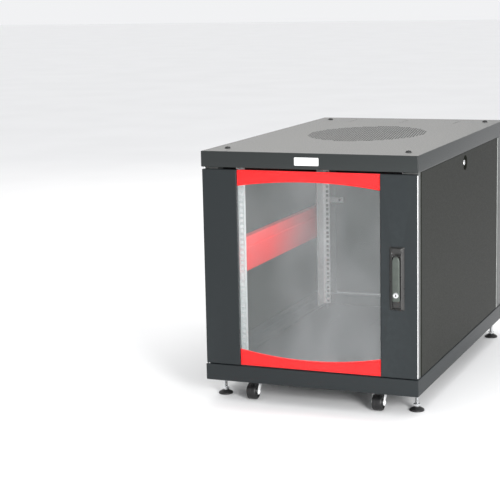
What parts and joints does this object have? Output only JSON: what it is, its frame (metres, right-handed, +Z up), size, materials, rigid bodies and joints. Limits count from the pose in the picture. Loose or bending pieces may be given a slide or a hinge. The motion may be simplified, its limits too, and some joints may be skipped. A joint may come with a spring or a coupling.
{
  "type": "network server rack cabinet",
  "caption": "Floor-standing 19-inch network cabinet with glass front door, vented steel rear door, removable sides, slotted rails, castors and levelling feet.",
  "frame": {"origin": "on the floor below the middle of the cabinet", "axes": "+Z up, the glass front door faces -Y, +X is to the right seen from the front"},
  "size_m": [0.6, 1.028, 0.6865],
  "materials": {
    "cabinet_paint": "satin powder coat, dark slate grey",
    "roof_paint": "satin powder coat, fine texture",
    "side_paint": "satin powder coat, fine texture",
    "red_paint": "gloss red",
    "glass": "clear toughened glass",
    "zinc": "bright zinc plate",
    "chrome": "polished",
    "handle_black": "satin black",
    "lever_grey": "satin grey",
    "wheel_black": "black nylon",
    "foot_rubber": "black rubber",
    "label_white": "blank white plate"
  },
  "bodies": {
    "cabinet": {"bottom_bar_left": "cabinet_paint", "bottom_bar_right": "cabinet_paint", "top_bar_left": "cabinet_paint", "top_bar_right": "cabinet_paint", "base_frame": "cabinet_paint", "post_front_left": "cabinet_paint", "post_rear_left": "cabinet_paint", "post_front_right": "cabinet_paint", "post_rear_right": "cabinet_paint", "roof_cover": "roof_paint", "side_beam_left": "red_paint", "side_beam_right": "red_paint", "rail_front_left": "zinc", "rail_rear_left": "zinc", "rail_front_right": "zinc", "rail_rear_right": "zinc", "castor_plate_front_left": "zinc", "castor_plate_rear_left": "zinc", "castor_plate_front_right": "zinc", "castor_plate_rear_right": "zinc", "front_hinge_pin_top": "chrome", "front_hinge_pin_bottom": "chrome", "rear_hinge_pin_top": "chrome", "rear_hinge_pin_bottom": "chrome", "label_plate": "label_white"},
    "front_door": {"front_door_frame": "cabinet_paint", "front_door_glass": "glass", "front_door_band_top": "red_paint", "front_door_band_bottom": "red_paint", "front_handle_housing": "handle_black"},
    "rear_door": {"rear_door_panel": "cabinet_paint", "rear_handle_housing": "handle_black"},
    "front_handle": {"front_handle_hub": "chrome", "front_latch_tongue": "zinc"},
    "front_lever": {"front_handle_lever": "lever_grey"},
    "front_lock": {"front_lock_barrel": "chrome"},
    "rear_handle": {"rear_handle_hub": "chrome", "rear_latch_tongue": "zinc"},
    "rear_lever": {"rear_handle_lever": "lever_grey"},
    "rear_lock": {"rear_lock_barrel": "chrome"},
    "side_panel_left": {"side_panel_left": "side_paint"},
    "side_lock_left": {"side_lock_left": "chrome"},
    "side_panel_right": {"side_panel_right": "side_paint"},
    "side_lock_right": {"side_lock_right": "chrome"},
    "castor_front_left": {"castor_fork_front_left": "zinc"},
    "wheel_front_left": {"castor_wheel_front_left": "wheel_black"},
    "foot_front_left": {"foot_stem_front_left": "chrome", "foot_pad_front_left": "foot_rubber"},
    "castor_rear_left": {"castor_fork_rear_left": "zinc"},
    "wheel_rear_left": {"castor_wheel_rear_left": "wheel_black"},
    "foot_rear_left": {"foot_stem_rear_left": "chrome", "foot_pad_rear_left": "foot_rubber"},
    "castor_front_right": {"castor_fork_front_right": "zinc"},
    "wheel_front_right": {"castor_wheel_front_right": "wheel_black"},
    "foot_front_right": {"foot_stem_front_right": "chrome", "foot_pad_front_right": "foot_rubber"},
    "castor_rear_right": {"castor_fork_rear_right": "zinc"},
    "wheel_rear_right": {"castor_wheel_rear_right": "wheel_black"},
    "foot_rear_right": {"foot_stem_rear_right": "chrome", "foot_pad_rear_right": "foot_rubber"}
  },
  "joints": [
    {"name": "front_door_hinge", "type": "hinge", "parent": "cabinet", "child": "front_door", "pos_m": [-0.2915, -0.495, 0.37], "axis": [0, 0, -1], "range_deg": [0, 115]},
    {"name": "front_handle_turn", "type": "hinge", "parent": "front_door", "child": "front_handle", "pos_m": [0.2435, -0.5, 0.417], "axis": [0, 1, 0], "range_deg": [0, 90]},
    {"name": "front_lever_tilt", "type": "hinge", "parent": "front_handle", "child": "front_lever", "pos_m": [0.2435, -0.5094, 0.4254], "axis": [-1, 0, 0], "range_deg": [0, 40]},
    {"name": "front_lock_turn", "type": "hinge", "parent": "front_lever", "child": "front_lock", "pos_m": [0.2435, -0.512, 0.3265], "axis": [0, 1, 0], "range_deg": [0, 90]},
    {"name": "rear_door_hinge", "type": "hinge", "parent": "cabinet", "child": "rear_door", "pos_m": [0.2915, 0.495, 0.37], "axis": [0, 0, -1], "range_deg": [0, 115]},
    {"name": "rear_handle_turn", "type": "hinge", "parent": "rear_door", "child": "rear_handle", "pos_m": [-0.2435, 0.5, 0.417], "axis": [0, -1, 0], "range_deg": [0, 90]},
    {"name": "rear_lever_tilt", "type": "hinge", "parent": "rear_handle", "child": "rear_lever", "pos_m": [-0.2435, 0.5094, 0.4254], "axis": [1, 0, 0], "range_deg": [0, 40]},
    {"name": "rear_lock_turn", "type": "hinge", "parent": "rear_lever", "child": "rear_lock", "pos_m": [-0.2435, 0.512, 0.3265], "axis": [0, -1, 0], "range_deg": [0, 90]},
    {"name": "side_panel_left_tilt", "type": "hinge", "parent": "cabinet", "child": "side_panel_left", "pos_m": [-0.299, 0, 0.1035], "axis": [0, -1, 0], "range_deg": [0, 25]},
    {"name": "side_lock_left_turn", "type": "hinge", "parent": "side_panel_left", "child": "side_lock_left", "pos_m": [-0.29, -0.008, 0.612], "axis": [-1, 0, 0], "range_deg": [0, 90]},
    {"name": "side_panel_right_tilt", "type": "hinge", "parent": "cabinet", "child": "side_panel_right", "pos_m": [0.299, 0, 0.1035], "axis": [0, 1, 0], "range_deg": [0, 25]},
    {"name": "side_lock_right_turn", "type": "hinge", "parent": "side_panel_right", "child": "side_lock_right", "pos_m": [0.29, -0.008, 0.612], "axis": [1, 0, 0], "range_deg": [0, 90]},
    {"name": "castor_front_left_swivel", "type": "hinge", "parent": "cabinet", "child": "castor_front_left", "pos_m": [-0.179, -0.44, 0.05], "axis": [0, 0, 1], "continuous": true},
    {"name": "wheel_front_left_spin", "type": "hinge", "parent": "castor_front_left", "child": "wheel_front_left", "pos_m": [-0.179, -0.458, 0.023], "axis": [1, 0, 0], "continuous": true},
    {"name": "foot_front_left_adjust", "type": "slide", "parent": "cabinet", "child": "foot_front_left", "axis": [0, 0, -1], "range_m": [0, 0.015]},
    {"name": "castor_rear_left_swivel", "type": "hinge", "parent": "cabinet", "child": "castor_rear_left", "pos_m": [-0.179, 0.44, 0.05], "axis": [0, 0, 1], "continuous": true},
    {"name": "wheel_rear_left_spin", "type": "hinge", "parent": "castor_rear_left", "child": "wheel_rear_left", "pos_m": [-0.179, 0.422, 0.023], "axis": [1, 0, 0], "continuous": true},
    {"name": "foot_rear_left_adjust", "type": "slide", "parent": "cabinet", "child": "foot_rear_left", "axis": [0, 0, -1], "range_m": [0, 0.015]},
    {"name": "castor_front_right_swivel", "type": "hinge", "parent": "cabinet", "child": "castor_front_right", "pos_m": [0.179, -0.44, 0.05], "axis": [0, 0, 1], "continuous": true},
    {"name": "wheel_front_right_spin", "type": "hinge", "parent": "castor_front_right", "child": "wheel_front_right", "pos_m": [0.179, -0.458, 0.023], "axis": [1, 0, 0], "continuous": true},
    {"name": "foot_front_right_adjust", "type": "slide", "parent": "cabinet", "child": "foot_front_right", "axis": [0, 0, -1], "range_m": [0, 0.015]},
    {"name": "castor_rear_right_swivel", "type": "hinge", "parent": "cabinet", "child": "castor_rear_right", "pos_m": [0.179, 0.44, 0.05], "axis": [0, 0, 1], "continuous": true},
    {"name": "wheel_rear_right_spin", "type": "hinge", "parent": "castor_rear_right", "child": "wheel_rear_right", "pos_m": [0.179, 0.422, 0.023], "axis": [1, 0, 0], "continuous": true},
    {"name": "foot_rear_right_adjust", "type": "slide", "parent": "cabinet", "child": "foot_rear_right", "axis": [0, 0, -1], "range_m": [0, 0.015]}
  ]
}
